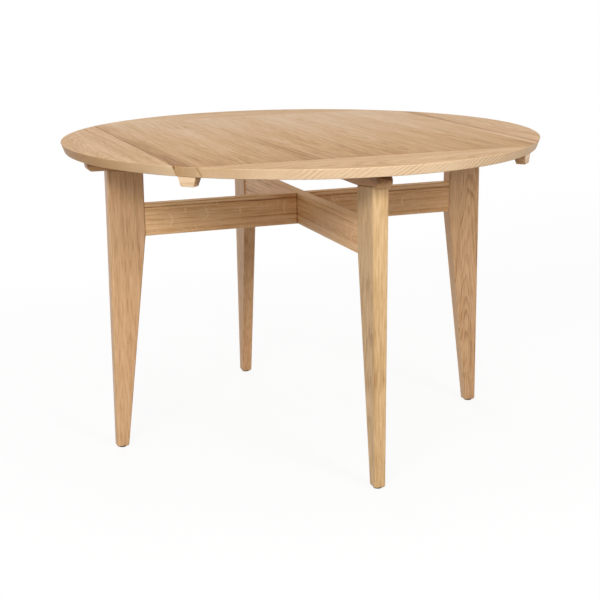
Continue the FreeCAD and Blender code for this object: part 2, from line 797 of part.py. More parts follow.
make_panel()
make_leaves()
make_corner_blocks()
make_legs()
make_rail("left_right_rail", 0, from_above=True)
make_rail("front_rear_rail", 1, from_above=False)
make_bearer("left_right_bearer", 0, "long_reach", from_above=True)
make_bearer("front_rear_bearer", 1, "short_reach", from_above=False)
make_slip_pads()
make_glides()
wood_screw = make_screw()
make_swivel(wood_screw)
make_hinges(wood_screw)
doc.recompute()
check_document()
write_parts()
print(f"{len(nodes)} sub-parts, {sum(len(node.Shape.Solids) for node in nodes)} solids")
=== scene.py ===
"""Looks of the extending dining table: round-edged oak pieces, fittings, studio and camera.

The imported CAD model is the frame. Every oak piece that shows is rebuilt here as a closed surface
with softly rounded edges and takes a solid oak finish, cut from its own board. The hinges, the
swivel, the screws, the pads and the glides keep their CAD shapes and get metal and plastic
finishes. Lengths are metres, +Z is up, and -Y points at the front leg.
"""
import logging
import math
from collections.abc import Callable, Sequence
from dataclasses import dataclass, replace
from enum import Enum

import bpy
import numpy as np
from mathutils import Matrix, Vector

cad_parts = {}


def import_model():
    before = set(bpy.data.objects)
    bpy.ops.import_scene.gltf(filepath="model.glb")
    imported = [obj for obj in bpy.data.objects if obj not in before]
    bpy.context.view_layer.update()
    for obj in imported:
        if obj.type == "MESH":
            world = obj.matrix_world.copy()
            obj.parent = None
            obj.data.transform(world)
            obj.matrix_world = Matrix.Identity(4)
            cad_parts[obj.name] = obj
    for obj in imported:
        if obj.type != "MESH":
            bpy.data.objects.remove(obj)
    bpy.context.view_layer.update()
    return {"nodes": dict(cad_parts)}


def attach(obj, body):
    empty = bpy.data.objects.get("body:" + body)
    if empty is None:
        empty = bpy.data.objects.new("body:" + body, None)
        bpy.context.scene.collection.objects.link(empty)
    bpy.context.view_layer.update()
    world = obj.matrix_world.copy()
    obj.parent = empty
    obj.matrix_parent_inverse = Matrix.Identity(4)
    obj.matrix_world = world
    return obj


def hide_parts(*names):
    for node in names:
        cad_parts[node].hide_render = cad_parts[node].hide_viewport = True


log = logging.getLogger("dining_table")

IMAGE_PIXELS = 600
MERGE_DISTANCE = 1e-6
CREASE_ANGLE = math.radians(32)
QUARTER = math.pi / 2
ROUND_STEPS = 5
WHITE = (1.0, 1.0, 1.0, 1.0)

Triple = tuple[float, float, float]


class Place(Enum):
    """A set of places round the table."""

    @property
    def label(self) -> str:
        """Return the place's name as the CAD nodes spell it."""
        return self.name.lower()


class Side(Place):
    """The four sides of the table, by quarter turns from +X."""

    RIGHT = 0
    REAR = 1
    LEFT = 2
    FRONT = 3

    @property
    def outward(self) -> Triple:
        """Return the direction from the middle of the table towards the side."""
        angle = self.value * QUARTER
        return (round(math.cos(angle)), round(math.sin(angle)), 0)

    @property
    def sideways(self) -> Triple:
        """Return the level direction along the side, a quarter turn on from outward."""
        x, y, _ = self.outward
        return (-y, x, 0)


class Corner(Place):
    """The four cut corners of the panel, by quarter turns from the first diagonal."""

    REAR_RIGHT = 0
    REAR_LEFT = 1
    FRONT_LEFT = 2
    FRONT_RIGHT = 3

    @property
    def angle(self) -> float:
        """Return the turn of the corner's diagonal from +X."""
        return (self.value + 0.5) * QUARTER


class Lap(Enum):
    """The face from which a crossing piece is halved."""

    FROM_ABOVE = "above"
    FROM_BELOW = "below"


def tint(*screen: int) -> Triple:
    """Return the linear values of three screen values from 0 to 255, by the two-part curve."""
    shares = np.array(screen) / 255
    return tuple(np.where(shares <= 0.04045, shares / 12.92, ((shares + 0.055) / 1.055) ** 2.4).tolist())


def math_method(operation: str, reflected: bool = False) -> Callable[..., "Value"]:
    """Make a method for values that stands for a Math node.

    Args:
        operation: The node's operation.
        reflected: Whether the value itself comes last among the terms.

    Returns:
        The method, which adds the node and returns its output.
    """
    def method(self: "Value", *others: "Value | float") -> "Value":
        """Return the operation's result on the value and any other terms."""
        terms = (*others, self) if reflected else (self, *others)
        return self.bench.node("Math", {"operation": operation}, dict(enumerate(terms)))

    return method


class Value:
    """One output of a material's nodes, used in Python expressions."""

    def __init__(self, bench: "Bench", socket: bpy.types.NodeSocket | None) -> None:
        """Keep the socket and the bench on which new nodes are made."""
        self.bench = bench
        self.socket = socket

    __add__, __radd__ = math_method("ADD"), math_method("ADD", reflected=True)
    __sub__, __rsub__ = math_method("SUBTRACT"), math_method("SUBTRACT", reflected=True)
    __mul__, __rmul__ = math_method("MULTIPLY"), math_method("MULTIPLY", reflected=True)
    __truediv__, __rtruediv__ = math_method("DIVIDE"), math_method("DIVIDE", reflected=True)
    __abs__ = math_method("ABSOLUTE")
    whole = math_method("FLOOR")
    part = math_method("FRACT")
    root = math_method("SQRT")

    def step(self, low: float, high: float) -> "Value":
        """Return a smooth rise of self.

        Args:
            low: Value at which the rise starts.
            high: Value at which the rise ends; below low, it falls instead.

        Returns:
            0 before the rise, 1 after it, and a smooth curve between.
        """
        first, last, start, end = (low, high, 0.0, 1.0) if low < high else (high, low, 1.0, 0.0)
        return self.bench.node(
            "MapRange", {"interpolation_type": "SMOOTHSTEP"},
            {0: self, 1: first, 2: last, 3: start, 4: end})


class Bench:
    """A material or a world under construction: its nodes, and its one surface shader."""

    def __init__(self, owner: bpy.types.Material | bpy.types.World) -> None:
        """Start with no nodes.

        Args:
            owner: The material or the world.
        """
        owner.use_nodes = True
        self.owner = owner
        self.tree = owner.node_tree
        self.tree.nodes.clear()

    @classmethod
    def for_material(cls, name: str) -> "Bench":
        """Return a bench for a new material of that name."""
        return cls(bpy.data.materials.new(name))

    def node(self, kind: str, settings: dict | None = None, inputs: dict | None = None,
             output: int | str = 0) -> Value:
        """Add a node.

        Args:
            kind: The node's type, without the ShaderNode that starts every name.
            settings: Its own settings, set first; "stops" lists a ramp's places and colours.
            inputs: Numbers, colours or values for its sockets, by name or number.
            output: The output to return.

        Returns:
            The chosen output, empty for the node that ends a material.
        """
        made = self.tree.nodes.new(f"ShaderNode{kind}")
        for name, setting in (settings or {}).items():
            if name == "stops":
                self._set_stops(made.color_ramp, setting)
            else:
                setattr(made, name, setting)
        for key, given in (inputs or {}).items():
            if isinstance(given, Value):
                self.tree.links.new(given.socket, made.inputs[key])
            else:
                made.inputs[key].default_value = given
        return Value(self, made.outputs[output] if made.outputs else None)

    @staticmethod
    def _set_stops(ramp: bpy.types.ColorRamp, stops: Sequence[tuple[float, Triple]]) -> None:
        """Give a ramp its places and colours.

        Args:
            ramp: The ramp.
            stops: The places, from 0 to 1, with their colours.
        """
        while len(ramp.elements) < len(stops):
            ramp.elements.new(1.0)
        for element, (place, colour) in zip(ramp.elements, stops):
            element.position = place
            element.color = (*colour, 1.0)

    def split(self, vector: Value) -> tuple[Value, Value, Value]:
        """Take a vector or a colour apart.

        Args:
            vector: The vector or colour.

        Returns:
            Its three parts.
        """
        first = self.node("SeparateXYZ", inputs={0: vector})
        outputs = first.socket.node.outputs
        return first, Value(self, outputs[1]), Value(self, outputs[2])

    def place(self) -> tuple[Value, Value, Value]:
        """Return the three parts of a point's place on the object."""
        return self.split(self.node("TexCoord", output="Object"))

    def join(self, x: "Value | float", y: "Value | float", z: "Value | float") -> Value:
        """Return a vector of three values."""
        return self.node("CombineXYZ", inputs={0: x, 1: y, 2: z})

    def mist(self, vector: Value, detail: float = 2.0, roughness: float = 0.5) -> Value:
        """Return smooth noise about 0, mostly between -1 and 1, one cell to a unit of vector."""
        noise = self.node("TexNoise", inputs={
            "Vector": vector, "Scale": 1.0, "Detail": detail, "Roughness": roughness})
        return (noise - 0.5) * 4.0

    def luck(self, number: Value) -> Value:
        """Return three chance values from 0 to 1 that belong to a number, as a colour."""
        return self.node("TexWhiteNoise", {"noise_dimensions": "1D"}, {"W": number},
                         output="Color")

    def blend(self, share: Value, first: "Value | Triple", second: "Value | Triple",
              kind: str = "MIX") -> Value:
        """Return a first colour mixed with a second, or multiplied by it, as far as share says."""
        ends = [given if isinstance(given, Value) else (*given, 1.0) for given in (first, second)]
        return self.node("Mix", {"data_type": "RGBA", "blend_type": kind},
                         {0: share, 6: ends[0], 7: ends[1]}, output=2)

    def dot(self, vector: Value, direction: Triple) -> Value:
        """Return the cosine between a unit vector and a fixed direction."""
        return self.node("VectorMath", {"operation": "DOT_PRODUCT"},
                         {0: vector, 1: Vector(direction).normalized()}, output="Value")

    def surface(self, shader: Value) -> bpy.types.Material | bpy.types.World:
        """Use a shader as the surface.

        Args:
            shader: The shader's output.

        Returns:
            The finished material or world.
        """
        kind = "World" if isinstance(self.owner, bpy.types.World) else "Material"
        self.node(f"Output{kind}", inputs={"Surface": shader})
        return self.owner

    def lacquered(self, inputs: dict, height: Value, depth: float) -> bpy.types.Material:
        """Finish the material with a Principled shader and a bump.

        Args:
            inputs: What goes to the shader's sockets.
            height: Relief from 0 to 1.
            depth: Height of the relief in metres.

        Returns:
            The finished material.
        """
        bump = self.node("Bump", inputs={
            "Strength": 1.0, "Distance": depth, "Height": height})
        return self.surface(self.node("BsdfPrincipled", inputs={**inputs, "Normal": bump}))


@dataclass(frozen=True)
class Streak:
    """A darker streak along the grain of a board, or a paler one where its strength is negative; some
    streaks are painted light and shade.
    """

    across: float
    width: float
    strength: float
    slant: float = 0.0
    wave: float = 0.0016
    reach: tuple[float, float] | None = None


@dataclass(frozen=True)
class Fleck:
    """One large pale ray fleck, a bowed ribbon across the grain, or below strength 0 a dark line of
    painted shadow.
    """

    along: float
    across: float
    half_height: float
    bow: float
    half_width: float = 0.0027
    strength: float = 1.3


@dataclass(frozen=True)
class Eye:
    """A small knot, round which the rings swell."""

    across: float
    along: float
    push: float
    size: float = 0.05
    dark: float = 0.4


# A stretch past the end of any board, and a stave wider than any
OFF_THE_BOARD = (5.0, 6.0)
ONE_STAVE = 5.0


@dataclass(frozen=True)
class Board:
    """How a piece is cut from the log, the marks it happens to have, and painted light and shade."""

    centre: Triple
    grain: Triple
    face: Triple
    pith_across: float
    pith_deep: float
    lean: float = 0.0
    seed: float = 0.0
    shade: float = 0.0
    # Tone change along the grain, paler towards the far end above 0; painted light on the panel and the
    # front leg.
    fade: float = 0.0
    figure: float = 1.0
    wobble: float = 0.3
    # Tone of the narrow sides: painted light and shade.
    side_painted_light: float = 0.0
    # Scale of the end grain's tone; below 0 it makes ends paler, painted light on the left leaf's rim.
    end_share: float = 1.0
    runout: tuple[float, float] = OFF_THE_BOARD
    stave_width: float = ONE_STAVE
    stave_spread: float = 0.0
    streaks: tuple[Streak, ...] = ()
    flecks: tuple[Fleck, ...] = ()
    eyes: tuple[Eye, ...] = ()

    def turn(self) -> Matrix:
        """Return the turn that takes the board's width to X, its thickness to Y, its grain to Z."""
        grain, face = Vector(self.grain).normalized(), Vector(self.face).normalized()
        return Matrix((face.cross(grain), face, grain))


# Noise by the size of its cells across and along the grain, and its layers of finer noise
SWAY_CELLS = (0.14, 0.9, 2.0)
DRIFT_CELLS = (0.2, 1.2, 2.0)
WAVER_CELLS = (0.017, 0.16, 1.0)
FIBRE_CELLS = (0.0011, 0.07, 2.0)
STRAND_CELLS = (0.0052, 0.20, 2.0)
THREAD_CELLS = (0.0030, 0.045, 1.0)
CLOUD_CELLS = (0.06, 0.5, 3.0)
BLUSH_CELLS = (0.11, 0.35, 1.0)
FLECK_CELLS = (0.035, 0.05, 0.0)
RIM_CELLS = (0.3, 0.10, 1.0)
# Noise by its cells in a metre across, through and along the grain
PORE_RATES = (2100, 2100, 95)
BOW_RATES = (24, 24, 9)
RAY_RATES = (34, 140, 190)
# Lengths, one slope, and the starts and ends of smooth rises
SWAY_REACH = 0.006
DRIFT_REACH = 0.004
STAVE_SHIFT = 1.2
STREAK_FADE = 0.06
RUNOUT_FADE = 0.12
RUNOUT_PITCH = 0.015
RUNOUT_SLOPE = 1.4
RUNOUT_RISE, RUNOUT_FALL, RUNOUT_PATCH = (0.30, 0.80), (1.0, 0.86), (-0.8, 0.5)
LATE_WOOD, RING_END, EARLY_WOOD = (0.30, 0.90), (1.0, 0.92), (0.42, 0.05)
STREAK_EDGE, PORE_EDGE, RAY_EDGE = (1.0, 0.15), (0.35, 0.85), (0.30, 0.80)
RIBBON_EDGE, RIBBON_TIP, RAY_PATCH = (1.2, 0.3), (1.05, 0.7), (-0.2, 0.6)
NARROW_SIDE = (0.7, 0.3)
# Shares: late wood and slanting lines on average, pores in late wood, season cells to a ring
LATE_MEAN, RUNOUT_MEAN, LATE_PORES, SEASON_RATE = 0.28, 0.3, 0.15, 0.23


class Cut:
    """A board in a material under construction: a point's place in it, and the marks there."""

    def __init__(self, bench: Bench, board: Board) -> None:
        """Work out a point's place across, through and along the board, and its stave's chances.

        Args:
            bench: The bench of the piece's material.
            board: How the piece is cut.
        """
        turn = board.turn()
        place = bench.node("Mapping", {"vector_type": "POINT"}, {
            "Vector": bench.node("TexCoord", output="Object"),
            "Location": -(turn @ Vector(board.centre)),
            "Rotation": turn.to_euler("XYZ"),
        })
        self.bench, self.board = bench, board
        self.across, self.deep, self.along = bench.split(place)
        self.stave = (self.across / board.stave_width + 0.5).whole()
        self.chance = bench.split(bench.luck(self.stave + board.seed))
        self.sway = self.noise(SWAY_CELLS)
        self.strand = self.noise(STRAND_CELLS)

    def noise(self, cells: Triple, shift: float = 0.0) -> Value:
        """Work out noise that is drawn out along the grain.

        Args:
            cells: Size of the cells across and along the grain, and layers of finer noise.
            shift: Shift of the pattern, in cells.

        Returns:
            Noise about 0, mostly between -1 and 1.
        """
        width, length, detail = cells
        seed = self.board.seed + shift
        return self.bench.mist(self.bench.join(self.across / width + seed, self.deep / width,
                                               self.along / length - seed), detail)

    def fine(self, rates: Triple, detail: float, shift: Value | float = 0.0) -> Value:
        """Return noise by its cells in a metre across, through and along the grain, shifted along it."""
        across, deep, along = rates
        return self.bench.mist(self.bench.join(self.across * across, self.deep * deep,
                                               self.along * along + shift), detail)

    def stretch(self, reach: tuple[float, float], fade: float) -> Value:
        """Return 1 between two places along the grain, with a smooth rise and fall inside them."""
        start, end = reach
        return self.along.step(start, start + fade) * self.along.step(end, end - fade)

    def ring(self, width: float) -> Value:
        """Work out a point's ring count.

        It is the distance from the log's leaning pith line, which slow noise bends, over the
        width of a ring. Eyes push the rings outwards.

        Args:
            width: The width of a ring.

        Returns:
            The ring count.
        """
        board, across, along, spread = self.board, self.across, self.along, self.board.stave_spread
        if spread:
            across = across - self.stave * board.stave_width
            along = along + (self.chance[2] - 0.5) * STAVE_SHIFT
        off_a = across - board.pith_across - (self.chance[0] - 0.5) * spread + self.sway * SWAY_REACH
        off_d = (self.deep - board.pith_deep + (self.chance[1] - 0.5) * (spread / 2)
                 - along * (board.lean + (self.chance[2] - 0.5) * (spread / 3))
                 + self.noise(DRIFT_CELLS, 40) * DRIFT_REACH)
        radius = (off_a * off_a + off_d * off_d).root()
        for eye in board.eyes:
            radius = radius + self.near(eye, eye.size) * eye.push
        return radius / width + self.noise(WAVER_CELLS) * board.wobble

    def near(self, eye: Eye, size: float) -> Value:
        """Work out how near a point is to an eye, by an oval three times as long as it is wide.

        Args:
            eye: The eye.
            size: Half of the oval's width.

        Returns:
            1 at the eye, with a smooth fall to 0 at the oval.
        """
        a = (self.across - eye.across) / size
        b = (self.along - eye.along) / (3 * size)
        return (a * a + b * b).step(1.0, 0.0)

    def marks(self) -> Value | float:
        """Work out how much streaks, which are swaying bands along the grain, and eyes darken a point.

        Returns:
            The change of tone.
        """
        mark = 0.0
        for streak in self.board.streaks:
            middle = streak.across + self.along * streak.slant + self.sway * streak.wave
            band = (abs(self.across - middle) / streak.width).step(*STREAK_EDGE)
            if streak.reach:
                band = band * self.stretch(streak.reach, STREAK_FADE)
            mark = mark + band * (self.strand * 0.35 + 1.0) * streak.strength
        for eye in self.board.eyes:
            mark = mark + self.near(eye, eye.size * 0.12) * eye.dark
        return mark

    def flecks(self) -> Value:
        """Work out the ray flecks.

        Small ones are short bowed ribbons that cross the grain in patches. A large one is a ribbon
        about a line across the grain, bowed by the square of the distance from its middle. One
        below strength 0 is a dark line of painted shadow.

        Returns:
            How much paler a point is.
        """
        bow = self.fine(BOW_RATES, 1.0, self.board.seed)
        ribbon = self.fine(RAY_RATES, 1.0, bow * 2)
        pale = ribbon.step(*RAY_EDGE) * self.noise(FLECK_CELLS).step(*RAY_PATCH)
        for fleck in self.board.flecks:
            height = (self.across - fleck.across) / fleck.half_height
            line = self.along - fleck.along - height * height * fleck.bow
            ribbon = (abs(line) / fleck.half_width).step(*RIBBON_EDGE) * abs(height).step(*RIBBON_TIP)
            pale = pale + ribbon * fleck.strength
        return pale

    def runout(self) -> Value:
        """Work out the slanting lines of rings that a narrow side cuts across, in patches.

        Returns:
            How much darker a point is, about 0.
        """
        bend = self.bench.mist(self.bench.join(self.along * 14, self.deep * 20, self.board.seed), 1.0)
        stripe = ((self.along - self.deep * RUNOUT_SLOPE) / RUNOUT_PITCH + bend * 0.5).part()
        lines = stripe.step(*RUNOUT_RISE) * stripe.step(*RUNOUT_FALL) - RUNOUT_MEAN
        patch = self.noise(RIM_CELLS, 3).step(*RUNOUT_PATCH)
        return lines * patch * self.stretch(self.board.runout, RUNOUT_FADE)


@dataclass(frozen=True)
class OakFinish:
    """Oak with a satin oil: colours, and how strongly each mark of the wood shows."""

    pale: Triple
    middle: Triple
    dark: Triple
    base_tone: float = 0.40
    ring_width: float = 0.0030
    ring: float = 0.26
    season: float = 0.20
    cloud: float = 0.10
    strand: float = 0.13
    thread: float = 0.10
    fibre: float = 0.06
    pore: float = 0.30
    fleck: float = 0.0
    stave: float = 0.0
    end: float = 0.42
    runout: float = 0.0
    # Tone of the narrow sides: partly their own grain, partly painted light on rims and rail tops.
    side_tone_and_light: float = 0.0
    edge_calm: float = 0.0
    sheen: float = 0.0
    sheen_roughness: float = 0.4
    blush: float = 0.5
    roughness: float = 0.44
    gloss: float = 0.34
    relief: float = 0.00012

    def material(self, name: str, board: Board) -> bpy.types.Material:
        """Make the solid oak of one piece.

        Each growth ring darkens towards its end, the next starts with a belt of pores, and rings
        vary in depth by smooth noise over the ring count. Strands and fibres run along the grain,
        ray flecks cross it, and end grain differs by the square of the cosine between the face and
        the grain. All of it is a pattern in space, so that the faces, edges and ends of a piece
        show the same wood. Some boards add painted light and shade to the tone: along the grain,
        on the narrow sides, at the ends, and in some streaks and lines.

        Args:
            name: The material's name.
            board: How the piece is cut.

        Returns:
            The material.
        """
        bench = Bench.for_material(name)
        cut = Cut(bench, board)
        ring = cut.ring(self.ring_width)
        phase = ring.part()
        season = bench.mist(bench.join(ring * SEASON_RATE, board.seed, cut.chance[0] * 9), 3.0, 0.7)
        late = phase.step(*LATE_WOOD) * phase.step(*RING_END)
        early = phase.step(*EARLY_WOOD)
        fibre, cloud = cut.noise(FIBRE_CELLS), cut.noise(CLOUD_CELLS)
        pore = cut.fine(PORE_RATES, 0.0).step(*PORE_EDGE) * (early * (1 - LATE_PORES) + LATE_PORES)
        normal = bench.node("TexCoord", output="Normal")
        flat, end = bench.dot(normal, board.face), bench.dot(normal, board.grain)
        side = (flat * flat).step(*NARROW_SIDE)
        figure = ((late - LATE_MEAN) * (season * 0.6 + 0.75) * (self.ring * board.figure)
                  + season * self.season
                  + cut.strand * self.strand
                  + cut.noise(THREAD_CELLS) * self.thread)
        tone = (self.base_tone + board.shade - cut.along * board.fade
                + figure * (1 - side * self.edge_calm)
                + cloud * self.cloud
                + fibre * self.fibre
                + pore * self.pore
                + (cut.chance[1] - 0.5) * self.stave
                + cut.marks()
                + end * end * (self.end * board.end_share)
                + side * (self.side_tone_and_light + board.side_painted_light))
        if self.fleck:
            tone = tone - cut.flecks() * self.fleck
        if self.runout:
            tone = tone + side * cut.runout() * self.runout
        colour = bench.node("ValToRGB", {"stops": (
            (0.0, self.pale), (0.5, self.middle), (1.0, self.dark))}, {0: tone})
        warm = cut.noise(BLUSH_CELLS, 7)
        for full, cast in ((1.0, ROSY), (-1.0, STRAWY)):
            colour = bench.blend(warm.step(0.0, full) * self.blush, colour, cast, "MULTIPLY")
        height = 0.75 - pore * 0.7 - early * 0.12 + fibre * 0.05
        rough = self.roughness + pore * 0.2 + cloud * 0.03 + cut.strand * 0.02
        return bench.lacquered({
            "Base Color": colour, "Roughness": rough, "Specular IOR Level": self.gloss,
            "Sheen Weight": self.sheen, "Sheen Roughness": self.sheen_roughness,
            "Sheen Tint": (*HONEY, 1.0),
        }, height, self.relief)


@dataclass(frozen=True)
class MetalFinish:
    """Plated or bare metal with fine rolling marks and soft blotches."""

    colour: Triple
    worn: Triple
    roughness: float
    marks_per_metre: float = 900.0

    def material(self, name: str) -> bpy.types.Material:
        """Make the metal.

        Args:
            name: The material's name.

        Returns:
            The material.
        """
        bench = Bench.for_material(name)
        x, y, z = bench.place()
        rate = self.marks_per_metre
        marks = bench.mist(bench.join(x * rate, y * (rate / 18), z * rate), detail=3.0)
        blotch = bench.mist(bench.join(x * 70, y * 70, z * 70), detail=4.0, roughness=0.65)
        colour = bench.blend((blotch * 0.35 + marks * 0.15 + 0.4).step(0.0, 1.0), self.colour, self.worn)
        rough = self.roughness + blotch * 0.06 + marks * 0.04
        return bench.lacquered({"Base Color": colour, "Metallic": 1.0, "Roughness": rough},
                               marks * 0.25 + 0.5, 0.00002)


@dataclass(frozen=True)
class PlasticFinish:
    """Moulded plastic with a fine spark-eroded grain."""

    colour: Triple
    shade: Triple
    roughness: float

    def material(self, name: str) -> bpy.types.Material:
        """Make the plastic.

        Args:
            name: The material's name.

        Returns:
            The material.
        """
        bench = Bench.for_material(name)
        x, y, z = bench.place()
        grain = bench.mist(bench.join(x * 1600, y * 1600, z * 1600), detail=2.0)
        scuff = bench.mist(bench.join(x * 120, y * 120, z * 120), detail=3.0)
        colour = bench.blend((scuff * 0.4 + 0.4).step(0.0, 1.0), self.colour, self.shade)
        return bench.lacquered({"Base Color": colour, "Roughness": self.roughness + scuff * 0.05},
                               grain * 0.25 + 0.5, 0.00003)


ROSY: Triple = (1.0, 0.95, 0.91)
STRAWY: Triple = (1.0, 0.975, 0.91)
HONEY: Triple = (1.0, 0.72, 0.40)
PANEL_OAK = OakFinish(
    pale=tint(222, 188, 151), middle=tint(197, 152, 98), dark=tint(145, 95, 36),
    season=0.14, strand=0.21, stave=0.05, end=0.04,
    side_tone_and_light=-0.58, edge_calm=0.9, gloss=0.19, roughness=0.48)
LEAF_OAK = OakFinish(
    pale=tint(249, 217, 179), middle=tint(203, 160, 111), dark=tint(150, 103, 60), base_tone=0.44,
    ring=0.20, season=0.09, strand=0.09, runout=0.36,
    side_tone_and_light=-0.42, edge_calm=0.85, end=0.66, gloss=0.20, roughness=0.48)
BLOCK_OAK = OakFinish(
    pale=tint(244, 213, 174), middle=tint(206, 165, 122), dark=tint(150, 104, 66), base_tone=0.10,
    season=0.16, strand=0.26, thread=0.20, end=0.55)
LEG_OAK = OakFinish(
    pale=tint(233, 192, 148), middle=tint(208, 163, 118), dark=tint(148, 98, 61), base_tone=0.36,
    strand=0.08, thread=0.22)
STRAW_LEG_OAK = replace(
    LEG_OAK, pale=tint(237, 202, 155), middle=tint(208, 168, 117), dark=tint(148, 101, 58))
RAIL_OAK = OakFinish(
    pale=tint(251, 211, 159), middle=tint(220, 162, 104), dark=tint(136, 84, 45), base_tone=0.25,
    season=0.20, strand=0.15, thread=0.16, side_tone_and_light=-0.40, edge_calm=0.7,
    sheen=0.75, fleck=0.24, gloss=0.42)
BEARER_OAK = OakFinish(
    pale=tint(223, 178, 127), middle=tint(192, 142, 94), dark=tint(107, 67, 34), base_tone=0.16,
    end=0.08)
BEECH = OakFinish(
    pale=tint(232, 202, 165), middle=tint(216, 180, 140), dark=tint(184, 140, 100),
    ring_width=0.0026, ring=0.08, season=0.06, pore=0.12)
ZINC = MetalFinish(tint(196, 199, 202), tint(160, 163, 166), roughness=0.34)
ZINC_SCREW = MetalFinish(tint(205, 207, 206), tint(170, 171, 168), roughness=0.28)
BRONZE = MetalFinish(tint(188, 146, 92), tint(140, 102, 62), roughness=0.36)
GLIDE_PLASTIC = PlasticFinish(tint(58, 52, 47), tint(44, 40, 36), roughness=0.55)
SLIP_PLASTIC = PlasticFinish(tint(92, 78, 64), tint(76, 64, 52), roughness=0.5)


def turned(points: np.ndarray, angle: float) -> np.ndarray:
    """Return points turned about the table's upright axis."""
    c, s = math.cos(angle), math.sin(angle)
    return points @ np.array([[c, s, 0.0], [-s, c, 0.0], [0.0, 0.0, 1.0]])


def round_rings(radius: np.ndarray, angle: np.ndarray, heights: np.ndarray) -> np.ndarray:
    """Return rings of points about the upright axis, with one radius and one height for each ring."""
    level = np.broadcast_to(heights[:, None], angle.shape)
    return np.stack([radius[:, None] * np.cos(angle), radius[:, None] * np.sin(angle), level], -1)


def edge_profile(low: float, high: float, low_round: float,
                 high_round: float) -> tuple[np.ndarray, np.ndarray]:
    """Work out the heights and insets of a wall with rounded lower and upper edges.

    Each edge is a quarter circle: at angle a its inset is r (1 - sin a) and its height above the
    face is r (1 - cos a).

    Args:
        low: Height of the lower face.
        high: Height of the upper face.
        low_round: Radius of the lower edge.
        high_round: Radius of the upper edge.

    Returns:
        The heights from low to high, and how far in the wall stands at each.
    """
    angle = np.linspace(0.0, QUARTER, ROUND_STEPS + 1)
    rise, inset = 1 - np.cos(angle), 1 - np.sin(angle)
    heights = np.concatenate([low + low_round * rise, (high - high_round * rise)[::-1]])
    insets = np.concatenate([low_round * inset, (high_round * inset)[::-1]])
    return heights, insets


def rounded_rectangle(half_width: np.ndarray | float, half_height: np.ndarray | float,
                      radius: np.ndarray | float) -> tuple[np.ndarray, np.ndarray]:
    """Work out rounded rectangles, one for each entry of the arrays.

    A corner is a quarter circle of the radius about a point that is the radius in from both sides.

    Args:
        half_width: Half of each rectangle's width.
        half_height: Half of each rectangle's height.
        radius: Each rectangle's corner radius.

    Returns:
        The two coordinates, as arrays of rectangles by points, counter-clockwise.
    """
    corner = np.repeat(np.arange(4), ROUND_STEPS + 1)
    angle = corner * QUARTER + np.tile(np.linspace(0.0, QUARTER, ROUND_STEPS + 1), 4)
    sign_x = np.array([1, -1, -1, 1])[corner]
    sign_y = np.array([1, 1, -1, -1])[corner]
    half_width, half_height, radius = (
        v[:, None] for v in np.broadcast_arrays(half_width, half_height, radius))
    return (sign_x * (half_width - radius) + radius * np.cos(angle),
            sign_y * (half_height - radius) + radius * np.sin(angle))


def closed_piece(name: str, rings: np.ndarray) -> bpy.types.Object:
    """Make a piece from rings of points that run up its length.

    Four-sided faces join each ring to the next, and one flat face closes each end.

    Args:
        name: The piece's name.
        rings: Points as rings by points by 3, each ring counter-clockwise about the direction
            in which the rings follow each other.

    Returns:
        The piece, with smooth shading up to its creases.
    """
    count, around = rings.shape[:2]
    index = np.arange(count * around).reshape(count, around)
    low, high = index[:-1], index[1:]
    quads = np.stack([low, np.roll(low, -1, 1), np.roll(high, -1, 1), high], -1).reshape(-1, 4)
    faces = quads.tolist() + [index[0, ::-1].tolist(), index[-1].tolist()]
    mesh = bpy.data.meshes.new(name)
    mesh.from_pydata(rings.reshape(-1, 3).tolist(), [], faces)
    mesh.validate()
    mesh.polygons.foreach_set("use_smooth", np.ones(len(mesh.polygons), dtype=bool))
    mesh.set_sharp_from_angle(angle=CREASE_ANGLE)
    piece = bpy.data.objects.new(name, mesh)
    bpy.context.scene.collection.objects.link(piece)
    weld = piece.modifiers.new("weld", "WELD")
    weld.merge_threshold = MERGE_DISTANCE
    normals = piece.modifiers.new("even_normals", "WEIGHTED_NORMAL")
    normals.keep_sharp = True
    return piece


def dress(piece: bpy.types.Object, material: bpy.types.Material, body: str,
          node: str) -> None:
    """Give a new piece its finish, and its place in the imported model.

    Args:
        piece: The piece.
        material: Its finish.
        body: The CAD body that it rides on.
        node: The CAD node that it stands for.
    """
    piece.data.materials.append(material)
    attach(piece, body)
    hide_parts(node)
    log.info("%s: %d faces, rides on %s, stands for %s", piece.name, len(piece.data.polygons),
             body, node)


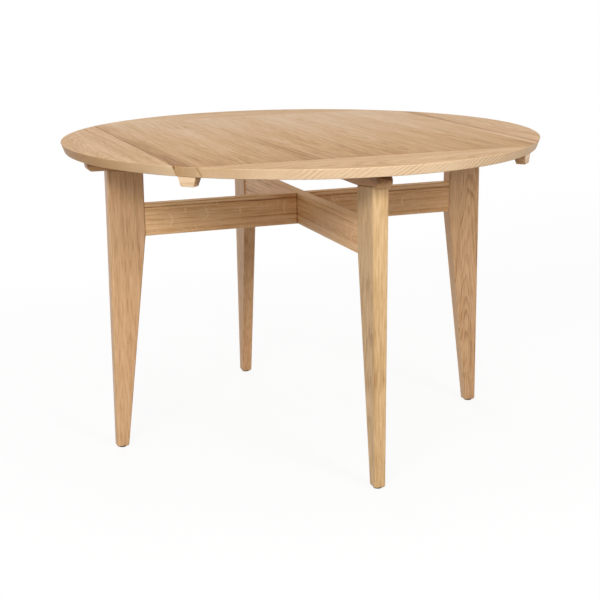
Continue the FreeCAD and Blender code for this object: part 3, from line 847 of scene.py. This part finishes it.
@dataclass
class TableTop:
    """The square panel with its cut corners, and the four leaves that make it round."""

    height: float = 0.750
    thickness: float = 0.023
    radius: float = 0.584
    chord: float = 0.432
    gap: float = 0.0005
    undercut: float = 0.0085
    joint_undercut: float = 0.009
    edge_round: float = 0.0018
    joint_round: float = 0.0004
    corner_points: int = 13
    rim_points: int = 121

    def walls(self) -> tuple[np.ndarray, np.ndarray, np.ndarray]:
        """Work out the heights of the edge and how far it has moved in at each.

        The wall leans: from the upper to the lower face it moves in step with the height.

        Returns:
            The heights, the wall's lean and the inset of the rounded edges, both as shares of 1.
        """
        low = self.height - self.thickness
        heights, insets = edge_profile(low, self.height, self.edge_round, self.edge_round)
        lean = (self.height - heights) / self.thickness
        return heights, lean, insets / self.edge_round

    def panel_rings(self) -> np.ndarray:
        """Work out the panel's rings: chords on four sides, arcs of the rim at the corners.

        The chord at distance c meets the circle of radius r at the angle arccos(c / r).

        Returns:
            Points as rings by points by 3.
        """
        heights, lean, inset = self.walls()
        chord = self.chord - lean * self.joint_undercut - inset * self.joint_round
        radius = self.radius - lean * self.undercut - inset * self.edge_round
        start = np.arccos(chord / radius)[:, None]
        share = np.linspace(0.0, 1.0, self.corner_points)
        arc = start + share * (QUARTER - 2 * start)
        angle = np.concatenate([arc + side.value * QUARTER for side in Side], axis=1)
        return round_rings(radius, angle, heights)

    def leaf_rings(self, side: Side) -> np.ndarray:
        """Work out a leaf's rings: the part of the disc outside a chord.

        The joint leans the other way than the rim, so that the leaf's lower edge reaches in
        under the panel.

        Args:
            side: The leaf's side.

        Returns:
            Points as rings by points by 3.
        """
        heights, lean, inset = self.walls()
        chord = self.chord + self.gap - lean * self.joint_undercut + inset * self.joint_round
        radius = self.radius - lean * self.undercut - inset * self.edge_round
        half = np.arccos(chord / radius)[:, None]
        angle = half * np.linspace(-1.0, 1.0, self.rim_points)
        return turned(round_rings(radius, angle, heights), side.value * QUARTER)

    def build(self) -> None:
        """Make and dress the panel and the leaves."""
        middle = self.height - self.thickness / 2
        panel = closed_piece("panel", self.panel_rings())
        board = Board(centre=(0.0, 0.0, middle), grain=(0, 1, 0), face=(0, 0, 1), pith_across=0.0,
                      pith_deep=-0.075, lean=0.012, seed=3.0, stave_width=0.144, stave_spread=0.09,
                      # Paler towards the rear end: painted sheen.
                      fade=0.60,
                      streaks=(Streak(0.440, 0.058, 0.23, wave=0.006),
                               # Thin dark lines at the left joint: painted shadow in the joint gap.
                               Streak(0.4325, 0.004, 0.80, wave=0.0, reach=(-0.10, 0.50)),
                               Streak(0.4325, 0.006, 1.10, wave=0.0, reach=(-0.60, -0.33)),
                               # A broad pale band over the right part: painted sheen.
                               Streak(-0.300, 0.400, -0.10),
                               Streak(0.250, 0.045, -0.16, wave=0.012, reach=(-0.25, 0.25))),
                      eyes=(Eye(across=0.218, along=0.265, push=0.007),))
        dress(panel, PANEL_OAK.material("panel_oak", board), "top", "top_panel")
        for side in Side:
            leaf = closed_piece(f"leaf_{side.label}", self.leaf_rings(side))
            material = LEAF_OAK.material(f"leaf_oak_{side.label}", self.leaf_board(side, middle))
            dress(leaf, material, f"{side.label}_leaf", f"{side.label}_leaf")

    def leaf_board(self, side: Side, middle: float) -> Board:
        """Choose how a leaf is cut, with its grain along the joint.

        Args:
            side: The leaf's side.
            middle: Height of the middle of its thickness.

        Returns:
            The leaf's board.
        """
        reach = (self.chord + self.radius) / 2
        x, y, _ = side.outward
        cut = {
            Side.RIGHT: {"pith_deep": -0.05, "streaks": (Streak(0.052, 0.012, 0.30),)},
            Side.REAR: {"pith_deep": -0.12, "streaks": (Streak(0.066, 0.008, -0.25),)},
            # A darker rim that grows paler towards its ends: painted light and shade on the rim.
            Side.LEFT: {"pith_deep": -0.035, "side_painted_light": 0.64, "end_share": -2.20},
            Side.FRONT: {"pith_deep": -0.16, "runout": (-0.25, 0.42), "streaks": (
                # A thin dark line at the joint near the front-left corner: painted shadow in the joint
                # gap.
                Streak(0.0750, 0.003, 0.30, wave=0.0, reach=(-0.60, -0.34)),)},
        }[side]
        return Board(centre=(x * reach, y * reach, middle), grain=side.sideways, face=(0, 0, 1),
                     pith_across=-0.02, lean=0.05, seed=11.0 + 7 * side.value, **cut)


@dataclass
class CornerBlocks:
    """The tapered blocks under the cut corners of the panel."""

    top: float = 0.727
    height: float = 0.0215
    outer: float = 0.5745
    lean: float = 0.0015
    width: float = 0.043
    depth: float = 0.029
    foot_width: float = 0.0315
    foot_depth: float = 0.022
    edge_round: float = 0.0016
    top_round: float = 0.0004

    def rings(self) -> np.ndarray:
        """Work out a block's rings: rounded rectangles that grow evenly from the foot to the top.

        Returns:
            Points as rings by points by 3, on the +X side.
        """
        heights, inset = edge_profile(self.top - self.height, self.top, self.edge_round,
                                      self.top_round)
        share = (heights - heights[0]) / self.height
        outer = self.outer - self.lean * (1 - share)
        half_depth = (self.foot_depth + (self.depth - self.foot_depth) * share) / 2
        half_width = (self.foot_width + (self.width - self.foot_width) * share) / 2
        x, y = rounded_rectangle(half_depth - inset, half_width - inset, self.edge_round)
        level = np.broadcast_to(heights[:, None], x.shape)
        return np.stack([x + (outer - half_depth)[:, None], y, level], -1)

    def build(self) -> None:
        """Make and dress the four blocks."""
        for corner in Corner:
            block = closed_piece(f"block_{corner.label}", turned(self.rings(), corner.angle))
            along = (-math.sin(corner.angle), math.cos(corner.angle), 0.0)
            reach = self.outer - self.depth / 2
            board = Board(
                centre=(reach * math.cos(corner.angle), reach * math.sin(corner.angle), self.top),
                grain=along, face=(0, 0, 1), pith_across=0.03, pith_deep=-0.06,
                seed=51.0 + corner.value)
            dress(block, BLOCK_OAK.material(f"block_oak_{corner.label}", board), "top",
                  f"{corner.label}_block")


@dataclass
class Legs:
    """The four tapered legs."""

    foot_low: float = 0.0025
    knee: float = 0.5285
    top_inner: float = 0.683
    top_outer: float = 0.6915
    inner: float = 0.404
    outer: float = 0.4905
    foot_inner: float = 0.4655
    foot_outer: float = 0.4955
    thickness: float = 0.039
    foot_thickness: float = 0.027
    edge_round: float = 0.0042
    foot_round: float = 0.0045
    shank_points: int = 12
    stile_points: int = 5

    def rings(self) -> np.ndarray:
        """Work out a leg's rings: rounded rectangles whose sides taper below the knee.

        The inner side is upright above the knee and runs straight from the knee to the foot.
        The outer side and the thickness run straight from the top to the foot. The foot's edge
        is a quarter circle, and the top ring follows the slope of the bearer.

        Returns:
            Points as rings by points by 3, on the +X side.
        """
        foot, inset = edge_profile(self.foot_low, self.knee, self.foot_round, self.foot_round)
        shank = np.linspace(self.foot_low + self.foot_round, self.knee, self.shank_points)[1:-1]
        stile = np.linspace(self.knee, self.top_outer, self.stile_points)
        heights = np.concatenate([foot[:ROUND_STEPS + 1], shank, stile])
        inset = np.concatenate([inset[:ROUND_STEPS + 1], np.zeros(len(shank) + len(stile))])
        share = (heights - self.foot_low) / (self.top_outer - self.foot_low)
        knee_share = np.clip((heights - self.foot_low) / (self.knee - self.foot_low), 0.0, 1.0)
        inner = self.foot_inner + (self.inner - self.foot_inner) * knee_share
        outer = self.foot_outer + (self.outer - self.foot_outer) * share
        half = (self.foot_thickness + (self.thickness - self.foot_thickness) * share) / 2
        x, y = rounded_rectangle((outer - inner) / 2 - inset, half - inset, self.edge_round)
        x = x + ((outer + inner) / 2)[:, None]
        level = np.repeat(heights[:, None], x.shape[1], axis=1)
        slope = (self.top_outer - self.top_inner) / (self.outer - self.inner)
        level[-1] = self.top_inner + slope * (x[-1] - self.inner)
        return np.stack([x, y, level], -1)

    def board(self, side: Side) -> Board:
        """Choose how a leg is cut: arches on the right one, straighter grain on the others.

        Args:
            side: The leg's side.

        Returns:
            The leg's board.
        """
        x, y, _ = side.outward
        reach = (self.inner + self.outer) / 2
        cut = {
            # The right leg's narrow sides are paler: painted light.
            Side.RIGHT: {"pith_across": 0.012, "pith_deep": 0.012, "lean": 0.045, "shade": 0.05,
                         "figure": 1.3, "wobble": 0.8, "side_painted_light": -0.42},
            # The rear leg's narrow sides are darker: painted shade.
            Side.REAR: {"pith_across": -0.05, "pith_deep": 0.20, "lean": 0.005, "shade": -0.06,
                        "side_painted_light": 0.08},
            Side.LEFT: {"pith_across": 0.11, "pith_deep": 0.05, "lean": 0.02},
            Side.FRONT: {"pith_across": 0.02, "pith_deep": 0.14, "lean": 0.02, "shade": -0.06,
                         # Paler towards the top and darker about mid-height: painted light and shade
                         # down the front leg.
                         "fade": 0.16,
                         "streaks": (Streak(0.0, 0.2, 0.14, reach=(-0.06, 0.26)),)},
        }[side]
        return Board(centre=(x * reach, y * reach, self.knee / 2), grain=(0, 0, 1),
                     face=side.sideways, seed=71.0 + 5 * side.value, **cut)

    def build(self) -> None:
        """Make and dress the four legs."""
        for side in Side:
            leg = closed_piece(f"leg_{side.label}", turned(self.rings(), side.value * QUARTER))
            finish = STRAW_LEG_OAK if side is Side.FRONT else LEG_OAK
            dress(leg, finish.material(f"leg_oak_{side.label}", self.board(side)), "base",
                  f"{side.label}_leg")


@dataclass
class CrossFrame:
    """The two rails and the two bearers, each pair halved over the other at the middle."""

    reach: float = 0.404
    rail_low: float = 0.5285
    rail_top: float = 0.6055
    rail_half: float = 0.015
    rail_round: float = 0.0022
    bearer_half: float = 0.018
    bearer_top: float = 0.718
    bearer_low: float = 0.683
    arm_low: float = 0.6915
    arm_start: float = 0.4905
    long_reach: float = 0.537
    short_reach: float = 0.513
    nose: float = 0.0129
    crown: float = 0.010
    bearer_round: float = 0.0022
    lap_room: float = 0.0005
    clear_of_lap: float = 0.05
    rail_points: int = 6
    bearer_points: int = 5

    @staticmethod
    def halved(rings: np.ndarray, half: float, level: float, lap: Lap) -> np.ndarray:
        """Cut the lap out of a piece whose rings run along X.

        Rings at both cheeks of the lap come twice, once whole and once with every point beyond
        the middle height brought to it.

        Args:
            rings: Points of a piece that is alike at both cheeks.
            half: Half of the lap's width.
            level: Height of the lap's floor.
            lap: The face from which the lap is cut.

        Returns:
            The rings with the lap.
        """
        left, right = rings[rings[:, 0, 0] < 0], rings[rings[:, 0, 0] > 0]
        cheeks = np.stack([left[-1], left[-1], right[0], right[0]])
        cheeks[:, :, 0] = np.array([-half, -half, half, half])[:, None]
        limit = np.minimum if lap is Lap.FROM_ABOVE else np.maximum
        cheeks[1:3, :, 2] = limit(cheeks[1:3, :, 2], level)
        return np.concatenate([left, cheeks, right])

    def rail_rings(self, lap: Lap) -> np.ndarray:
        """Work out a rail's rings: one rounded rectangle carried along X, with the lap.

        Args:
            lap: The face from which the rail is halved.

        Returns:
            Points as rings by points by 3, along X.
        """
        half_line = np.linspace(self.clear_of_lap, self.reach, self.rail_points)
        station = np.concatenate([-half_line[::-1], half_line])
        half_height = np.full(len(station), (self.rail_top - self.rail_low) / 2)
        y, z = rounded_rectangle(self.rail_half, half_height, self.rail_round)
        middle = (self.rail_top + self.rail_low) / 2
        rings = np.stack([np.repeat(station[:, None], y.shape[1], 1), y, z + middle], -1)
        return self.halved(rings, self.rail_half + self.lap_room, middle, lap)

    def bearer_rings(self, reach: float, lap: Lap) -> np.ndarray:
        """Work out a bearer's rings: rounded rectangles between its lower and upper side lines.

        The lower line is level between the legs, rises over each leg and is level along the arm.
        At the arm's end the lower line ends in a quarter circle of the nose's radius and the
        upper one in a quarter circle of the crown's.

        Args:
            reach: Distance of the arms' ends from the middle.
            lap: The face from which the bearer is halved.

        Returns:
            Points as rings by points by 3, along X.
        """
        bend = np.linspace(0.0, QUARTER, 3 * ROUND_STEPS)
        nose_start = reach - self.nose
        tip = nose_start + self.nose * np.sin(bend)
        inner = np.linspace(self.clear_of_lap, self.reach, self.bearer_points)
        half_line = np.concatenate([inner, [self.arm_start], tip])
        station = np.concatenate([-half_line[::-1], half_line])
        far = np.abs(station)
        low = np.interp(far, [self.reach, self.arm_start], [self.bearer_low, self.arm_low])
        past = np.clip(far - nose_start, 0.0, self.nose)
        low = low + self.nose - np.sqrt(np.maximum(self.nose ** 2 - past ** 2, 0.0))
        over = np.clip(far - (reach - self.crown), 0.0, self.crown)
        high = self.bearer_top - self.crown + np.sqrt(np.maximum(self.crown ** 2 - over ** 2, 0.0))
        half_height = (high - low) / 2
        y, z = rounded_rectangle(self.bearer_half, half_height,
                                 np.minimum(self.bearer_round, half_height * 0.9))
        rings = np.stack([np.repeat(station[:, None], y.shape[1], 1), y,
                          z + ((high + low) / 2)[:, None]], -1)
        middle = (self.bearer_top + self.bearer_low) / 2
        return self.halved(rings, self.bearer_half + self.lap_room, middle, lap)

    def rail_board(self, side: Side) -> Board:
        """Choose how a rail is cut, with its streaks and large ray flecks.

        Args:
            side: The side towards which its grain runs.

        Returns:
            The rail's board.
        """
        middle = (self.rail_top + self.rail_low) / 2
        cut = {
            Side.RIGHT: {
                "pith_across": 0.16, "fade": -0.12,
                "streaks": (Streak(-0.0285, 0.0030, 0.44, slant=0.006, wave=0.003),
                            Streak(-0.0345, 0.0030, -0.22),
                            Streak(0.002, 0.0024, 0.32, reach=(-0.42, -0.22)),
                            Streak(0.011, 0.0030, 0.34, reach=(-0.21, 0.05)),
                            Streak(-0.034, 0.0060, 0.40, reach=(-0.10, 0.02))),
                "flecks": (Fleck(-0.337, 0.004, 0.018, -0.011), Fleck(-0.247, -0.006, 0.019, -0.014),
                           Fleck(-0.052, -0.007, 0.018, 0.008), Fleck(-0.165, -0.007, 0.007, 0.001),
                           Fleck(-0.304, -0.017, 0.006, 0.001), Fleck(0.270, 0.002, 0.015, 0.009),
                           # A dark line beside the crossing: painted shadow in the joint.
                           Fleck(-0.0162, 0.0, 0.06, 0.0, half_width=0.0026, strength=-1.9))},
            Side.REAR: {
                "pith_across": -0.16,
                "streaks": (Streak(-0.026, 0.0035, 0.30, wave=0.003), Streak(0.014, 0.0050, 0.22),
                            Streak(0.0, 0.2, 0.13, reach=(0.05, 0.50))),
                "flecks": (Fleck(-0.335, -0.004, 0.018, 0.010), Fleck(-0.362, 0.008, 0.013, -0.008),
                           Fleck(-0.190, 0.004, 0.014, 0.009), Fleck(0.210, -0.006, 0.016, -0.010))},
        }[side]
        return Board(centre=(0.0, 0.0, middle), grain=side.outward, face=side.sideways,
                     pith_deep=0.05, lean=0.01, seed=91.0 + 9 * side.value, **cut)

    def build(self) -> None:
        """Make and dress the rails and the bearers."""
        crossing = ((Side.RIGHT, "left_right", self.long_reach, Lap.FROM_ABOVE),
                    (Side.REAR, "front_rear", self.short_reach, Lap.FROM_BELOW))
        for side, label, reach, lap in crossing:
            angle = side.value * QUARTER
            rail = closed_piece(f"rail_{label}", turned(self.rail_rings(lap), angle))
            dress(rail, RAIL_OAK.material(f"rail_oak_{label}", self.rail_board(side)), "base",
                  f"{label}_rail")
            bearer = closed_piece(f"bearer_{label}", turned(self.bearer_rings(reach, lap), angle))
            board = Board(centre=(0.0, 0.0, self.bearer_low), grain=side.outward,
                          face=side.sideways, pith_across=0.05, pith_deep=0.03, lean=0.01,
                          seed=131.0 + 9 * side.value,
                          # A dark band along the top of each bearer: painted shadow under the table top.
                          streaks=(Streak(-0.036, 0.024, 0.60, wave=0.0),))
            dress(bearer, BEARER_OAK.material(f"bearer_oak_{label}", board), "base",
                  f"{label}_bearer")


@dataclass
class Fittings:
    """The metal, plastic and beech pieces that keep their CAD shapes."""

    nodes: dict[str, bpy.types.Object]

    def build(self) -> None:
        """Give every fitting its finish, by the endings of the nodes' names."""
        beech = Board(centre=(0.0, 0.0, 0.727), grain=(0, 0, 1), face=(1, 0, 0), pith_across=0.3,
                      pith_deep=0.2, seed=5.0)
        finishes = (
            ("_screws", ZINC_SCREW.material("zinc_screw")),
            ("_slip_pad", SLIP_PLASTIC.material("slip_plastic")),
            ("_foot_glide", GLIDE_PLASTIC.material("glide_plastic")),
            ("block_dowels", BEECH.material("beech_dowel", beech)),
            ("pivot_bush", BRONZE.material("bronze_bush")),
            (("_flaps", "_pins", "_pin", "_plate"), ZINC.material("zinc_steel")),
        )
        for name, node in self.nodes.items():
            for ending, material in finishes:
                if name.endswith(ending):
                    self.paint(node, material)
                    break

    @staticmethod
    def paint(node: bpy.types.Object, material: bpy.types.Material) -> None:
        """Put a finish on every material slot of a CAD node.

        Args:
            node: The CAD node.
            material: The finish.
        """
        if not node.material_slots:
            node.data.materials.append(material)
        for slot in node.material_slots:
            slot.material = material
        log.info("%s: keeps its CAD shape, finish %s", node.name, material.name)


@dataclass(frozen=True)
class Softbox:
    """A large soft lamp that points at a place on the table."""

    name: str
    place: Triple
    target: Triple
    width: float
    height: float
    power: float
    mirrored: bool = True

    def build(self) -> None:
        """Make the lamp."""
        lamp = bpy.data.lights.new(self.name, "AREA")
        lamp.energy = self.power
        lamp.shape = "RECTANGLE"
        lamp.size, lamp.size_y = self.width, self.height
        softbox = bpy.data.objects.new(self.name, lamp)
        softbox.location = self.place
        softbox.visible_glossy = self.mirrored
        aim = Vector(self.target) - Vector(self.place)
        softbox.rotation_euler = aim.to_track_quat("-Z", "Y").to_euler()
        bpy.context.scene.collection.objects.link(softbox)
        log.info("%s: lamp", self.name)


@dataclass
class Studio:
    """White floor, soft light and the camera."""

    floor_half: float = 40.0
    floor_bounce: float = 0.36
    floor_white: float = 1.0
    floor_veil: float = 0.88
    veil_start: float = 1.6
    veil_end: float = 4.5
    cloud_rate: float = 0.7
    cloud_shade: Triple = (0.99, 0.99, 0.99)
    wall_top: float = 0.42
    wall_full: float = 0.10
    sky_strength: float = 0.42
    horizon_strength: float = 0.75
    softboxes: tuple[Softbox, ...] = (
        Softbox("overhead_softbox", (0.0, 0.3, 3.75), (0.0, 0.0, 0.75), 3.0, 2.6, 13.0),
        Softbox("front_softbox", (-2.06, -2.95, 2.35), (0.0, 0.0, 0.55), 2.0, 0.9, 68.0),
        Softbox("key_softbox", (1.0, -3.30, 2.30), (0.1, -0.1, 0.50), 1.0, 1.0, 42.0),
        Softbox("rear_softbox", (-2.40, 3.20, 1.00), (0.0, 0.0, 0.50), 2.4, 1.0, 14.0),
        Softbox("back_softbox", (0.40, 4.00, 1.14), (0.0, 0.0, 0.65), 1.6, 0.4, 54.0, False),
    )
    camera_place: Triple = (-1.12713, -3.02483, 1.14837)
    camera_azimuth: float = math.radians(-20.345)
    camera_elevation: float = math.radians(14.279)
    camera_roll: float = math.radians(-0.606)
    focal_pixels: float = 1306.1
    sensor: float = 36.0
    view_limit: float = 200.0

    def build(self) -> None:
        """Make the floor, the light and the camera."""
        self.make_floor()
        self.make_sky()
        for softbox in self.softboxes:
            softbox.build()
        self.make_camera()

    @staticmethod
    def seen(bench: Bench) -> Value:
        """Return 1 for rays that show the background: from the camera, from gloss or through glass."""
        rays = [bench.node("LightPath", output=name)
                for name in ("Is Camera Ray", "Is Glossy Ray", "Is Transmission Ray")]
        return rays[0] + rays[1] + rays[2]

    def make_floor(self) -> None:
        """Make the pale floor: a shadow under a white veil near the table, all veil far off.

        From below it is clear.
        """
        bench = Bench.for_material("studio_floor")
        x, y, z = bench.place()
        cloud = bench.mist(bench.join(x * self.cloud_rate, y * self.cloud_rate, z), detail=1.0)
        seen = self.seen(bench)
        colour = bench.blend(seen, (self.floor_bounce,) * 3, (self.floor_white,) * 3)
        colour = bench.blend(cloud.step(-1.5, 1.5), colour, self.cloud_shade, "MULTIPLY")
        plain = bench.node("BsdfDiffuse", inputs={"Color": colour})
        veil = bench.node("Emission", inputs={"Color": WHITE, "Strength": 1.0})
        far = (x * x + y * y).root().step(self.veil_start, self.veil_end)
        share = seen * (far * (1 - self.floor_veil) + self.floor_veil)
        mixed = bench.node("MixShader", inputs={0: share, 1: plain, 2: veil})
        clear = bench.node("BsdfTransparent")
        below = bench.node("NewGeometry", output="Backfacing")
        mixed = bench.node("MixShader", inputs={0: below, 1: mixed, 2: clear})
        h = self.floor_half
        mesh = bpy.data.meshes.new("studio_floor")
        mesh.from_pydata([(-h, -h, 0), (h, -h, 0), (h, h, 0), (-h, h, 0)], [], [(0, 1, 2, 3)])
        floor = bpy.data.objects.new("studio_floor", mesh)
        floor.data.materials.append(bench.surface(mixed))
        bpy.context.scene.collection.objects.link(floor)
        log.info("studio_floor: stage")

    def make_sky(self) -> None:
        """Make the white surroundings, soft light from all round, stronger from the low walls."""
        bench = Bench(bpy.data.worlds.new("studio_sky"))
        height = bench.split(bench.node("TexCoord", output="Generated"))[2]
        sky, wall, white = (bench.node("Background", inputs={"Color": WHITE, "Strength": strength})
                            for strength in (self.sky_strength, self.horizon_strength, 1.0))
        low = height.step(self.wall_top, self.wall_full)
        soft = bench.node("MixShader", inputs={0: low, 1: sky, 2: wall})
        mixed = bench.node("MixShader", inputs={0: self.seen(bench), 1: soft, 2: white})
        bpy.context.scene.world = bench.surface(mixed)

    def make_camera(self) -> None:
        """Make the camera at the photograph's viewing angle."""
        a, e, r = self.camera_azimuth, self.camera_elevation, self.camera_roll
        back = Vector((math.sin(a) * math.cos(e), -math.cos(a) * math.cos(e), math.sin(e)))
        right = Vector((math.cos(a), math.sin(a), 0.0))
        up = back.cross(right)
        right, up = (right * math.cos(r) + up * math.sin(r), up * math.cos(r) - right * math.sin(r))
        lens = bpy.data.cameras.new("camera")
        lens.sensor_width = self.sensor
        lens.lens = self.focal_pixels * self.sensor / IMAGE_PIXELS
        lens.clip_end = self.view_limit
        camera = bpy.data.objects.new("camera", lens)
        camera.matrix_world = Matrix.Translation(self.camera_place) @ Matrix(
            (right, up, back)).transposed().to_4x4()
        bpy.context.scene.collection.objects.link(camera)
        bpy.context.scene.camera = camera


def main() -> None:
    """Build the table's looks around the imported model."""
    logging.basicConfig(level=logging.INFO, format="%(name)s: %(message)s")
    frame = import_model()
    bpy.context.scene.view_settings.view_transform = "Standard"
    TableTop().build()
    CornerBlocks().build()
    Legs().build()
    CrossFrame().build()
    Fittings(frame["nodes"]).build()
    Studio().build()
    bpy.context.view_layer.update()


if __name__ == "__main__":
    main()
